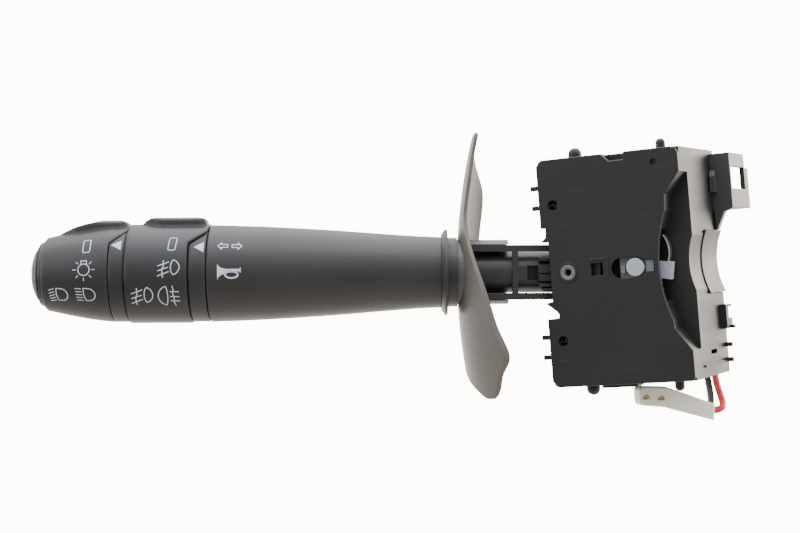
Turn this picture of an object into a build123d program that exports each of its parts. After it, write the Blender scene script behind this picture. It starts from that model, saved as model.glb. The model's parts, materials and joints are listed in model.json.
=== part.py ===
"""Combination stalk switch for the left of a steering column: lights, fog lights, indicators and horn.

Millimetres. The origin is where the stalk's axis crosses the swing axis. +X points to the steering
column, -Y to the driver, +Z up. The switch box is square to these axes. The stalk leaves it to the
left, raked towards the driver and tilted a little upwards.
"""

import os
from math import cos, pi, radians, sin, tan

from build123d import *

os.makedirs("parts", exist_ok=True)

# ---- driving dimensions: switch box
face_y = -13.6  # driver's face of the front cover
back_y = 16.4  # back of the box
plate = 1.6  # thickness of the front cover
wall = 1.6
left_x = -6.55
right_x = 30.8
flare = 2.6  # how far the column side leans out from the cover to the back
half_height = 29.6
gate_x = -4.75  # edge of the cover where the stalk comes out
gate_high = 11.9  # top and bottom of the way out for the stalk
gate_low = -11.8
gate_deep = 5.5  # it ends here, counted along Y
shelf_y = -6.5  # shelf behind the cut-out for the column
shelf = 1.5
reach_x = 23.8  # deepest point of the cut-out for the column
edge_x = 26.4  # where the round part of the cut-out ends
edge_half = 13.8  # half height of the round part
cut_high = 23.2  # top and bottom of the whole cut-out
cut_low = -21.9
rim = 1.3  # wall round the cut-out
groove_r = 20.0  # hollow in the column side
groove_deep = 1.2
side_skin = 4.4  # plastic behind the column side

# ---- driving dimensions: stalk, measured along its axis from the origin
rake = 23.58  # towards the driver, degrees
tilt = 4.58  # upwards, degrees
beam_start = 6.5
tube_start = 20.2
collar_start = 33.7
flange_start = 36.3
sleeve_start = 37.9
spigot_end = 60.0
sleeve_long = 61.15
fog_band_long = 4.95
fog_long = 16.2
light_band_long = 4.45
light_long = 17.85
cap_dome = 4.1  # how far the horn button stands out
sleeve_end = sleeve_start + sleeve_long
fog_start = sleeve_end + fog_band_long
fog_end = fog_start + fog_long
light_start = fog_end + light_band_long
cap_start = light_start + light_long
cap_tip = cap_start + cap_dome
tube_r = 8.6
tube_wall = 1.0
collar_wall = 0.6
flange_out = 2.2  # how far the flange stands out from the collar
sleeve_r = 12.88
core_r = 8.0
spindle_r = 6.0
rod_r = 2.0
fog_r = 13.15
light_r = 12.8
cap_r = 9.0
skin = 1.5  # wall of the knobs and the sleeve
lip_low = 8.0  # where the skin of a knob starts to reach over the band beside it
lip_high = 11.3

# ---- fits
turn_fit = 0.05  # radial clearance of what turns on a shaft
slide_fit = 0.1
air = 0.3  # between pieces that pass each other
seam = 0.2  # between a turning ring and its neighbour
bond = 0.02  # between pieces pressed or moulded together

# ---- movements
swing_range = 7.0
horn_travel = 1.8
finger_travel = 2.0

# ---- frames
across = Vector(cos(radians(tilt)), 0, -sin(radians(tilt)))  # to the column, in the plane of the swing
up = Vector(sin(radians(tilt)), 0, cos(radians(tilt)))
out = across * -cos(radians(rake)) + Vector(0, -sin(radians(rake)), 0)  # along the stalk
away = out.cross(up)  # from the driver
side_view = Plane(origin=(0, 0, 0), x_dir=out, z_dir=away)  # x along the stalk, y up
plan_view = Plane(origin=(0, 0, 0), x_dir=out, z_dir=up)  # x along the stalk, y to the driver
carrier_plan = Plane(origin=(0, 0, 0), x_dir=across, z_dir=up)  # x to the column, y from the driver
carrier_front = Plane(origin=(0, 0, 0), x_dir=across, z_dir=(0, -1, 0))  # x to the column, y up
stalk_axis = Axis((0, 0, 0), out)


def station(s):
    """Plane square to the stalk at s: local x is up, local y points from the driver."""
    return Plane(origin=out * s, x_dir=up, z_dir=out)


def front(y):
    """Plane facing the driver at y: local x is X, local y is Z, and it extrudes to the driver."""
    return Plane.XZ.offset(-y)


def wall_x(y):
    """Outside of the column side, which leans out towards the back."""
    return right_x + flare * (y - face_y - plate) / (back_y - face_y - plate)


def ring(low, high, outer, inner):
    """Half section of a plain ring along the stalk, for a sketch on side_view."""
    with Locations(((low + high) / 2, (outer + inner) / 2)):
        Rectangle(high - low, outer - inner)


def finish(piece, name):
    """Labels a finished piece and writes its STEP file."""
    piece.part.label = name
    export_step(piece.part, f"parts/{name}.step")


# ======== switch box, fixed to the column ========

inner_y = face_y + plate  # inside of the cover
floor_y = back_y - wall
bush_r = 1.5
bush_bore = 0.9
hub_ring_r = 2.6
trunnion_r = 2.5
screw_x = -2.75
screw_z = 17.65
screw_r = 1.3
pillar_r = 2.9
slot_left = 11.5
slot_half = 2.65
pin_x = 17.7  # middle of the finger's round pin
pin_r = 2.35
slot_right = pin_x + slot_half + air
track_right = 22.75  # narrow end of the slot, for the tongue of the slider
track_z = 0.13
track_half = 1.65
window_z = 0.05  # opening behind the cut-out, where the finger comes out
window_half = 9.2


def column_cut(inset, mode):
    """Area of the cut-out for the column, seen from the driver, grown to the left by inset."""
    with BuildLine() as outline:
        Polyline(
            (edge_x - inset, edge_half),
            (edge_x + 0.3 - inset, edge_half + 4.0),
            (right_x, cut_high + inset),
            (right_x + 9, cut_high + inset),
            (right_x + 9, cut_low - inset),
            (right_x, cut_low - inset),
            (edge_x + 0.2 - inset, -edge_half - 2.2),
            (edge_x - inset, -edge_half),
        )
        ThreePointArc((edge_x - inset, -edge_half), (reach_x - inset, 0), (edge_x - inset, edge_half))
    make_face(outline.edges(), mode=mode)


# Front cover: a flat plate with a snap barb each side of the stalk, a notch on top and the cut-out
# for the column. The finger's round pin shows in its slot.
with BuildPart() as front_cover:
    with BuildSketch(front(inner_y)):
        with BuildLine():
            Polyline(
                (left_x, half_height - 1.6),
                (left_x + 1.6, half_height),
                (10.9, half_height),
                (12.9, half_height - 2.0),
                (16.7, half_height - 2.0),
                (16.9, half_height),
                (right_x - 1.7, half_height),
                (right_x - 0.5, half_height - 0.5),
                (right_x, half_height - 1.7),
                (right_x, -half_height + 0.8),
                (right_x - 0.8, -half_height),
                (left_x + 1.7, -half_height),
                (left_x, -half_height + 1.7),
                (left_x, gate_low),
                (gate_x + 1.4, gate_low),
                (gate_x + 1.4, gate_low + 1.2),
                (gate_x + 0.9, gate_low + 1.9),
                (gate_x - 1.2, gate_low + 3.6),
                (gate_x - 2.0, gate_low + 4.2),
                (gate_x, gate_low + 4.5),
                (gate_x, gate_high - 3.7),
                (gate_x - 2.0, gate_high - 3.6),
                (gate_x - 0.6, gate_high - 2.4),
                (gate_x - 0.5, gate_high),
                (left_x, gate_high),
                close=True,
            )
        make_face()
        column_cut(0, Mode.SUBTRACT)
    extrude(amount=plate)
    fillet(front_cover.faces().sort_by(Axis.Y)[0].outer_wire().edges()
           .filter_by(lambda e: e.center().X > 0 or abs(e.center().Z) > gate_high), 0.3)
    rim_left = left_x + wall + slide_fit
    rim_right = reach_x - rim - air
    rim_top = half_height - wall - slide_fit
    with BuildSketch(front(inner_y + 1.0)):  # locating rim inside the walls
        with Locations(((rim_left + rim_right) / 2, 0)):
            Rectangle(rim_right - rim_left, 2 * rim_top)
            Rectangle(rim_right - rim_left - 2, 2 * rim_top - 2, mode=Mode.SUBTRACT)
        with Locations((rim_left, (gate_high + gate_low) / 2)):
            Rectangle(4, gate_high - gate_low + 2 * air, mode=Mode.SUBTRACT)
        with Locations((screw_x, screw_z), (screw_x, -screw_z)):
            Circle(pillar_r + air, mode=Mode.SUBTRACT)
        with Locations((rim_right, window_z)):
            Rectangle(4, 2 * window_half + 2 * air, mode=Mode.SUBTRACT)
    extrude(amount=1.0)
    with BuildSketch(front(face_y)):  # low ring round the hub, and a low frame on the face
        Circle(hub_ring_r)
        Circle(hub_ring_r - 0.7, mode=Mode.SUBTRACT)
        with BuildLine():
            Polyline((5.6, 3.1), (10.9, 3.1), (10.9, -2.0), (10.1, -2.0), (10.1, 2.4), (5.6, 2.4), close=True)
        make_face()
    extrude(amount=0.25)
    with BuildSketch(front(inner_y)):  # hub hole, square window, finger slot and screw holes
        Circle(bush_r + turn_fit)
        with Locations((7.75, 0.25)):
            Rectangle(3.1, 3.2)
        with Locations(((slot_right + slot_left) / 2, 0)):
            SlotOverall(slot_right - slot_left, 2 * slot_half)
        with Locations(((pin_x + track_right) / 2, track_z)):
            Rectangle(track_right - pin_x, 2 * track_half)
        with Locations((screw_x, screw_z), (screw_x, -screw_z)):
            Circle(screw_r)
    extrude(amount=plate + 1, mode=Mode.SUBTRACT)
    with BuildSketch(front(face_y + 0.8)):  # dimple
        with Locations((24.6, 26.1)):
            Circle(0.85)
    extrude(amount=0.8, mode=Mode.SUBTRACT)
finish(front_cover, "front_cover")

# Rear housing: a deep tray. Its column side leans out and is hollowed for the column, and a shelf
# and a rim close it behind the cut-out of the cover.
lean = Vector(flare, back_y - inner_y, 0).normalized()
groove_plane = Plane(
    origin=(right_x + groove_r - groove_deep, inner_y, 0), x_dir=(0, 0, 1), z_dir=lean
)  # local x is up, local y points to the column
guard_thick = 1.2
guard_half = 8.2
guard_start = 13.3  # along the leaning side, from the cover
pegs = ((2.5, 1.75), (25.3, 1.25))  # place along X and radius
peg_y = -7.5
peg_high = 2.8
tab_out = 2.8  # how far the side tabs stand out
lead_z = -18.3
lead_pitch = 2.0
lead_x = 26.8
grommet = 1.2
terminal_pitch = 2.5
terminal_columns = 8
terminal_x = 23.2  # middle of the terminals
terminal_z = half_height - 8.8
terminal_gap = 4.6  # between their two rows
terminal_side = 0.8
terminal_sunk = 4.8  # from the mouth of the socket to their tips
board_y = 12.3
board = 1.2

with BuildPart() as rear_housing:
    with BuildSketch(Plane.XY.offset(-half_height)):
        with BuildLine():
            Polyline(
                (left_x, inner_y), (wall_x(inner_y), inner_y), (wall_x(back_y), back_y), (left_x, back_y), close=True
            )
        make_face()
    extrude(amount=2 * half_height)
    fillet(rear_housing.edges().filter_by(Axis.Y).group_by(Axis.X)[0], 1.2)
    with BuildSketch(Plane.XY.offset(-half_height + wall)):  # room inside
        with BuildLine():
            Polyline(
                (left_x + wall, inner_y),
                (wall_x(inner_y) - side_skin, inner_y),
                (wall_x(floor_y) - side_skin, floor_y),
                (left_x + wall, floor_y),
                close=True,
            )
        make_face()
    extrude(amount=2 * (half_height - wall), mode=Mode.SUBTRACT)
    with BuildSketch(front(shelf_y)):
        column_cut(0, Mode.ADD)
    extrude(amount=shelf_y - inner_y, mode=Mode.SUBTRACT)
    with BuildSketch(front(shelf_y + shelf)):  # shelf
        column_cut(rim, Mode.ADD)
        with Locations((reach_x, 0)):
            Rectangle(2 * (right_x - reach_x) - 1, 2 * half_height - wall, mode=Mode.INTERSECT)
    extrude(amount=shelf)
    with BuildSketch(front(shelf_y + 1.0)):  # rail under the finger
        with Locations(((10.5 + reach_x) / 2, 0)):
            Rectangle(reach_x - 10.5, 8.4)
    extrude(amount=1.0)
    with BuildSketch(front(shelf_y)):  # rim round the cut-out, open for the finger
        column_cut(rim, Mode.ADD)
        column_cut(0, Mode.SUBTRACT)
        with Locations((reach_x, 0)):
            Rectangle(2 * (right_x - reach_x) - 1, 2 * half_height - wall, mode=Mode.INTERSECT)
        with Locations((reach_x, window_z)):
            Rectangle(6, 2 * window_half, mode=Mode.SUBTRACT)
    extrude(amount=shelf_y - inner_y)
    with BuildSketch(groove_plane):  # hollow for the column, with a deeper seat for its guard
        Circle(groove_r)
    extrude(amount=2 * (back_y - face_y), both=True, mode=Mode.SUBTRACT)
    with BuildSketch(groove_plane.offset(guard_start)):
        Circle(groove_r + guard_thick)
        Rectangle(2 * (guard_half + slide_fit), 4 * groove_r, mode=Mode.INTERSECT)
    extrude(amount=back_y - face_y, mode=Mode.SUBTRACT)
    with BuildSketch(front(gate_deep)):  # way out for the stalk
        with Locations((left_x, (gate_high + gate_low) / 2)):
            Rectangle(4 * wall, gate_high - gate_low)
    extrude(amount=gate_deep - inner_y, mode=Mode.SUBTRACT)
    with BuildSketch(front(inner_y + 3.4)):  # notch behind the notch of the cover
        with Locations((13.9, half_height)):
            Rectangle(6.0, 4.0)
    extrude(amount=3.4, mode=Mode.SUBTRACT)
    with BuildSketch(front(floor_y)):  # screw pillars
        with Locations((screw_x, screw_z), (screw_x, -screw_z)):
            Circle(pillar_r)
    extrude(amount=floor_y - inner_y)
    with BuildSketch(front(back_y)):
        with Locations((screw_x, screw_z), (screw_x, -screw_z)):
            Circle(screw_r)
    extrude(amount=back_y - inner_y, mode=Mode.SUBTRACT)
    with BuildSketch(front(back_y)):  # rear bearing
        Circle(trunnion_r + turn_fit)
    extrude(amount=wall, mode=Mode.SUBTRACT)
    with BuildSketch(front(back_y)):  # ways for the terminals
        with Locations((terminal_x, terminal_z)):
            with GridLocations(terminal_pitch, terminal_gap, terminal_columns, 2):
                Rectangle(terminal_side + 2 * slide_fit, terminal_side + 2 * slide_fit)
    extrude(amount=back_y - board_y - board, mode=Mode.SUBTRACT)
    with BuildSketch(front(back_y)):  # sunk panels on the back
        with Locations((14.9, -8.6)):
            with GridLocations(7.2, 8.6, 3, 4):
                RectangleRounded(6.2, 7.4, 0.8)
    extrude(amount=0.6, mode=Mode.SUBTRACT)
    with BuildSketch(front(inner_y + 2.4)):  # four side tabs
        with Locations(*[(left_x - tab_out / 2 + 0.5, z) for z in (22.6, 17.4, -16.6, -21.8)]):
            Rectangle(tab_out + 1, 1.2)
    extrude(amount=1.2)
    for x, radius in pegs:
        for side in (1, -1):
            with Locations((x, peg_y, side * half_height)):
                Cylinder(radius, 2 * (peg_high - radius))
            with Locations((x, peg_y, side * (half_height + peg_high - radius))):
                Sphere(radius)
    with Locations((10.8, inner_y + 3.2, -half_height)):  # low strip under the box
        Box(9.4, 6.0, 1.6)
    with BuildSketch(Plane.XY.offset(-26.9)):  # ledge on the column side
        with BuildLine():
            Polyline(
                (wall_x(-5) - 0.3, -5), (wall_x(-5) + 0.5, -5), (wall_x(14) + 0.5, 14), (wall_x(14) - 0.3, 14), close=True
            )
        make_face()
    extrude(amount=0.6)
    with BuildSketch(Plane.YZ.offset(wall_x(2.5) - 1.0)):  # small window and two prongs
        with Locations((4, -23.4)):
            Rectangle(5, 1.1)
    extrude(amount=3, mode=Mode.SUBTRACT)
    with BuildSketch(Plane.YZ.offset(wall_x(14) - 0.6)):
        with Locations((14, -22.3), (14, -26.3)):
            Circle(0.6)
    extrude(amount=2.6)
finish(rear_housing, "rear_housing")

# Guard in the hollow of the column side.
with BuildPart() as column_guard:
    with BuildSketch(groove_plane.offset(guard_start + slide_fit)):
        Circle(groove_r + guard_thick)
        Circle(groove_r - 0.3, mode=Mode.SUBTRACT)
        with Locations((0, -groove_r)):
            Rectangle(2 * guard_half, 10, mode=Mode.INTERSECT)
    extrude(amount=back_y - face_y)
    split(bisect_by=Plane.XZ.offset(-back_y), keep=Keep.TOP)
finish(column_guard, "column_guard")

# Connector shroud: stands behind the box and wraps round its column side, which it follows. Open to
# the back, with a window for the latch of the harness plug.
shroud_left = 12.0
shroud_reach = 5.2  # from the column side of the box to the outside of the shroud
shroud_front = 13.3
shroud_back = 30.2
shroud_high = half_height - 1.1
shroud_tall = 14.7
shroud_low = shroud_high - shroud_tall
shroud_wall = 1.2
step_back = 3.0  # the upper part ends this much earlier
step_tall = 3.8
web_tall = 5.5


def shroud_side(y):
    """Outside of the shroud on the column side."""
    return wall_x(y) + shroud_reach


with BuildPart() as connector_shroud:
    with BuildSketch(Plane.XY.offset(shroud_low)):
        with BuildLine():
            Polyline(
                (wall_x(shroud_front), shroud_front),
                (shroud_side(shroud_front), shroud_front),
                (shroud_side(shroud_back), shroud_back),
                (shroud_left, shroud_back),
                (shroud_left, back_y),
                (wall_x(back_y), back_y),
                close=True,
            )
        make_face()
    extrude(amount=shroud_tall)
    socket_x = shroud_side(shroud_back) - shroud_wall
    bay_x = wall_x(back_y) + shroud_wall
    with BuildSketch(Plane.XY.offset(shroud_low + shroud_wall)):  # socket
        with BuildLine():
            Polyline(
                (bay_x, shroud_front + shroud_wall),
                (shroud_side(shroud_front) - shroud_wall, shroud_front + shroud_wall),
                (socket_x, shroud_back),
                (shroud_left + shroud_wall, shroud_back),
                (shroud_left + shroud_wall, back_y + shroud_wall),
                (bay_x, back_y + shroud_wall),
                close=True,
            )
        make_face()
    extrude(amount=shroud_tall - 2 * shroud_wall, mode=Mode.SUBTRACT)
    with BuildSketch(Plane.YZ.offset(shroud_side(shroud_front) - 2 * shroud_wall)):  # latch window, stepped rim
        with Locations(((shroud_front + shroud_back - step_back) / 2 + 0.2, shroud_low + 8.1)):
            Rectangle(shroud_back - step_back - shroud_front - 1.6, 5.9)
        with Locations((shroud_back, shroud_high)):
            Rectangle(2 * step_back, 2 * step_tall)
    extrude(amount=5 * shroud_wall, mode=Mode.SUBTRACT)
    with BuildSketch(Plane.XZ.offset(-back_y)):  # ways for the terminals
        with Locations((terminal_x, terminal_z)):
            with GridLocations(terminal_pitch, terminal_gap, terminal_columns, 2):
                Rectangle(terminal_side + 2 * slide_fit, terminal_side + 2 * slide_fit)
    extrude(amount=-shroud_wall, mode=Mode.SUBTRACT)
    with BuildSketch(front(back_y)):  # web under the side part
        with BuildLine():
            Polyline(
                (wall_x(back_y), shroud_low),
                (shroud_side(shroud_front), shroud_low),
                (shroud_side(shroud_front) - 2.3, shroud_low - 0.8),
                (wall_x(back_y) + 0.4, shroud_low - web_tall),
                (wall_x(back_y), shroud_low - web_tall),
                close=True,
            )
        make_face()
    extrude(amount=back_y - shroud_front)
    with BuildSketch(front(shroud_front)):  # hook on the driver's side
        with Locations((wall_x(shroud_front) + 0.75, shroud_low + 7.3)):
            Rectangle(1.4, 5.8)
    extrude(amount=2.5)
    with BuildSketch(Plane.YZ.offset(wall_x(shroud_front) + 0.9)):
        with BuildLine():
            Polyline(
                (shroud_front - 2.5, shroud_low + 8.6),
                (shroud_front - 2.5, shroud_low + 10.2),
                (shroud_front - 1.2, shroud_low + 10.2),
                close=True,
            )
        make_face()
    extrude(amount=2, both=True, mode=Mode.SUBTRACT)
finish(connector_shroud, "connector_shroud")

with BuildPart() as connector_terminals:
    with BuildSketch(front(shroud_back - terminal_sunk)):
        with Locations((terminal_x, terminal_z)):
            with GridLocations(terminal_pitch, terminal_gap, terminal_columns, 2):
                Rectangle(terminal_side, terminal_side)
    extrude(amount=shroud_back - terminal_sunk - board_y - board)
finish(connector_terminals, "connector_terminals")

# Clip low on the column side, which holds the cable of the column.
clip_front = 11.4
clip_low = -18.0
clip_tall = 6.4
clip_out = 1.8
with BuildPart() as cable_clip:
    with BuildSketch(Plane.XY.offset(clip_low)):
        with BuildLine():
            Polyline(
                (wall_x(clip_front), clip_front),
                (wall_x(clip_front) + clip_out, clip_front),
                (wall_x(back_y) + clip_out, back_y),
                (wall_x(back_y), back_y),
                close=True,
            )
        make_face()
    extrude(amount=clip_tall)
    with BuildSketch(Plane.YZ.offset(wall_x(back_y) + clip_out - 1.4)):
        with Locations(((clip_front + back_y) / 2 + 1.2, clip_low + 4.2)):
            Rectangle(3.2, 3.0)
    extrude(amount=2, mode=Mode.SUBTRACT)
    with BuildSketch(Plane.YZ.offset(wall_x(back_y) + clip_out - 0.6)):
        with Locations((back_y - 1.2, clip_low + 0.4)):
            Rectangle(2.4, 0.8)
    extrude(amount=1.4)
finish(cable_clip, "cable_clip")

# Circuit board on the floor of the box, with the contact tracks that the wipers run on.
with BuildPart() as contact_board:
    with BuildSketch(front(board_y + board)):
        with Locations(((left_x + wall + wall_x(inner_y) - side_skin) / 2, 0)):
            Rectangle(wall_x(inner_y) - side_skin - left_x - wall - 2 * air, 2 * (half_height - wall - air))
        Circle(trunnion_r + air, mode=Mode.SUBTRACT)
        with Locations((screw_x, screw_z), (screw_x, -screw_z)):
            Circle(pillar_r + air, mode=Mode.SUBTRACT)
    extrude(amount=board)
finish(contact_board, "contact_board")

stop_z = half_height - wall - 4
with BuildPart() as board_stops:  # posts between the board and the floor
    with BuildSketch(front(floor_y)):
        with Locations((20, -stop_z), (20, 10), (8, -stop_z), (8, stop_z)):
            Circle(1.5)
    extrude(amount=floor_y - board_y - board)
finish(board_stops, "board_stops")

track = 0.2
track_from = 35
track_turn = 75
wiper = 0.5
with BuildPart() as contact_tracks:
    with BuildSketch(front(board_y)):
        for radius in (4.4, 6.4, 8.4):
            with BuildLine():
                outer = CenterArc((0, 0), radius + 0.7, track_from, track_turn)
                inner = CenterArc((0, 0), radius - 0.7, track_from, track_turn)
                Line(inner @ 0, outer @ 0)
                Line(inner @ 1, outer @ 1)
            make_face()
    extrude(amount=track)
finish(contact_tracks, "contact_tracks")

# Cam with three notches that the indicator's plunger rests in.
plunger_r = 1.3
plunger_tip = 21.2  # from the swing axis
plunger_y = -3.4
cam_right = 25.0
with BuildPart() as detent_cam:
    with BuildSketch(front(plunger_y + 1.8)):
        with Locations(((plunger_tip - 1 + cam_right) / 2, -sin(radians(tilt)) * plunger_tip)):
            Rectangle(cam_right - plunger_tip + 1, 13)
        Circle(plunger_tip + air, mode=Mode.SUBTRACT)
        with Locations(
            *[
                (
                    (plunger_tip - plunger_r) * cos(radians(turn - tilt)),
                    (plunger_tip - plunger_r) * sin(radians(turn - tilt)),
                )
                for turn in (-swing_range, 0, swing_range)
            ]
        ):
            Circle(plunger_r + 2 * air, mode=Mode.SUBTRACT)
    extrude(amount=plunger_y + 1.8 - shelf_y - shelf)
finish(detent_cam, "detent_cam")

# ======== self-cancelling finger ========

finger_top = inner_y + turn_fit  # the slider runs under the cover
slider = 1.6
slider_left = 13.4
slider_half = 3.2
post_half = 1.1
finger_thick = 2.8
finger_low = finger_top + slider + 0.1  # driver's side of the finger, under the slider
tooth_x = 26.8
stub_r = 1.1
# Slider: its post and its tongue show in the slot of the cover, left and right of the finger's pin.
with BuildPart() as finger_slider:
    with BuildSketch(front(finger_top + slider)):
        with Locations(((slider_left + track_right) / 2, 0)):
            RectangleRounded(track_right - slider_left, 2 * slider_half, 1.0)
        with Locations((pin_x, 0)):
            Circle(pin_r + turn_fit, mode=Mode.SUBTRACT)
    extrude(amount=slider)
    with BuildSketch(front(finger_top)):
        with Locations((slider_left + 1.05, -0.3)):
            Rectangle(1.0, 2 * post_half)
        with Locations(((pin_x + pin_r + track_right) / 2, track_z)):
            Rectangle(track_right - pin_x - pin_r - 2 * air, 2 * (track_half - slide_fit))
    extrude(amount=finger_top - face_y - 0.6)
finish(finger_slider, "finger_slider")

with BuildPart() as cancel_finger:
    with BuildSketch(front(finger_low)):
        with Locations((pin_x, 0)):
            Circle(pin_r)
    extrude(amount=finger_low - face_y)
    fillet(cancel_finger.faces().sort_by(Axis.Y)[0].edges(), 0.3)
    with BuildSketch(front(finger_low + finger_thick)):
        with Locations((pin_x, 0)):
            Circle(pin_r + 0.7)
        with BuildLine():
            Polyline(
                (pin_x, 2.4),
                (tooth_x - 3.1, 1.0),
                (tooth_x - 0.2, 0.7),
                (tooth_x - 0.9, -3.8),
                (tooth_x - 2.6, -3.5),
                (pin_x, -2.4),
                close=True,
            )
        make_face()
    extrude(amount=finger_thick)
    with BuildSketch(front(shelf_y - turn_fit)):  # stub that runs on the rail
        with Locations((pin_x, 0)):
            Circle(stub_r)
    extrude(amount=shelf_y - turn_fit - finger_low - finger_thick)
finish(cancel_finger, "cancel_finger")

leaf = 0.35
leaf_tall = 6.8
with BuildPart() as finger_leaf:  # curved leaf spring that centres the finger
    with BuildSketch(front(finger_low + finger_thick - 0.1)):
        with BuildLine():
            edge = ThreePointArc((tooth_x - 1.2, 0.85), (tooth_x - 0.7, 4.0), (tooth_x - 2.1, 0.85 + leaf_tall))
            back = ThreePointArc(
                (tooth_x - 1.2 - leaf, 0.85), (tooth_x - 0.7 - leaf, 4.0), (tooth_x - 2.1 - leaf, 0.75 + leaf_tall)
            )
            Line(edge @ 0, back @ 0)
            Line(edge @ 1, back @ 1)
        make_face()
    extrude(amount=finger_thick - 0.2)
finish(finger_leaf, "finger_leaf")

# ======== carrier: swings with the indicator and holds the stalk's pull pin ========

cheek_in = 8.9  # room for the stalk, either side of the origin along Y
cheek_out = 11.4
yoke_left = -2.6
yoke_right = 4.0
yoke_in = 8.0
yoke_out = 10.0
pull_pin_r = 1.5
arm_end = 18.5
arm_half = 2.6
spring_start = 11.0
plunger_start = 14.0
with BuildPart() as indicator_carrier:
    with BuildSketch(carrier_plan.offset(-yoke_out)):
        with Locations(((yoke_left + yoke_right) / 2, 0)):
            Rectangle(yoke_right - yoke_left, 2 * cheek_out)
    extrude(amount=2 * yoke_out)
    with BuildSketch(carrier_plan.offset(-yoke_in)):
        Rectangle(20, 2 * cheek_in)
    extrude(amount=2 * yoke_in, mode=Mode.SUBTRACT)
    with BuildSketch(carrier_plan.offset(-arm_half)):  # arm to the detent cam
        with BuildLine():
            Polyline(
                (yoke_right - 0.5, -cheek_out),
                (8, -cheek_out),
                (8, plunger_y - 1.8),
                (arm_end, plunger_y - 1.8),
                (arm_end, plunger_y + 1.8),
                (6.2, plunger_y + 1.8),
                (6.2, -cheek_in + 1),
                (yoke_right - 0.5, -cheek_in + 1),
                close=True,
            )
        make_face()
    extrude(amount=2 * arm_half)
    with BuildSketch(front(cheek_out + 0.01)):
        Circle(bush_r + 0.01)
    extrude(amount=2 * cheek_out + 0.01, mode=Mode.SUBTRACT)
    with BuildSketch(front(back_y - 0.2)):  # rear trunnion
        Circle(trunnion_r)
    extrude(amount=back_y - 0.2 - cheek_in)
    with BuildSketch(carrier_plan.offset(-yoke_out)):
        Circle(pull_pin_r + 0.01)
    extrude(amount=2 * yoke_out, mode=Mode.SUBTRACT)
    with BuildSketch(Plane(origin=across * spring_start + Vector(0, plunger_y, 0), x_dir=up, z_dir=across)):
        Circle(plunger_r + turn_fit)
    extrude(amount=arm_end, mode=Mode.SUBTRACT)
finish(indicator_carrier, "indicator_carrier")

with BuildPart() as pivot_bush:
    with BuildSketch(front(-cheek_in)):
        Circle(bush_r)
        Circle(bush_bore, mode=Mode.SUBTRACT)
    extrude(amount=-cheek_in - face_y + 0.1)
    chamfer(pivot_bush.faces().sort_by(Axis.Y)[0].outer_wire().edges(), 0.15)
finish(pivot_bush, "pivot_bush")

with BuildPart() as pull_pin:
    with BuildSketch(carrier_plan.offset(-yoke_out)):
        Circle(pull_pin_r)
    extrude(amount=2 * yoke_out)
    chamfer(pull_pin.edges(), 0.2)
finish(pull_pin, "pull_pin")

with BuildPart() as detent_plunger:
    with BuildSketch(Plane(origin=across * plunger_start + Vector(0, plunger_y, 0), x_dir=up, z_dir=across)):
        Circle(plunger_r)
    extrude(amount=plunger_tip - plunger_r - plunger_start)
    with Locations(tuple(across * (plunger_tip - plunger_r) + Vector(0, plunger_y, 0))):
        Sphere(plunger_r)
finish(detent_plunger, "detent_plunger")

with BuildPart() as detent_spring:
    with BuildSketch(Plane(origin=across * spring_start + Vector(0, plunger_y, 0), x_dir=up, z_dir=across)):
        Circle(plunger_r - 0.1)
        Circle(plunger_r - 0.6, mode=Mode.SUBTRACT)
    extrude(amount=plunger_start - spring_start)
finish(detent_spring, "detent_spring")

with BuildPart() as indicator_wiper:
    with BuildSketch(carrier_plan.offset(4.2)):
        with Locations((1.6, cheek_out + wiper / 2)):
            Rectangle(7.2, wiper)
    extrude(amount=4.0)
finish(indicator_wiper, "indicator_wiper")

# ======== stalk, pulled to the driver for the main beam ========

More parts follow.
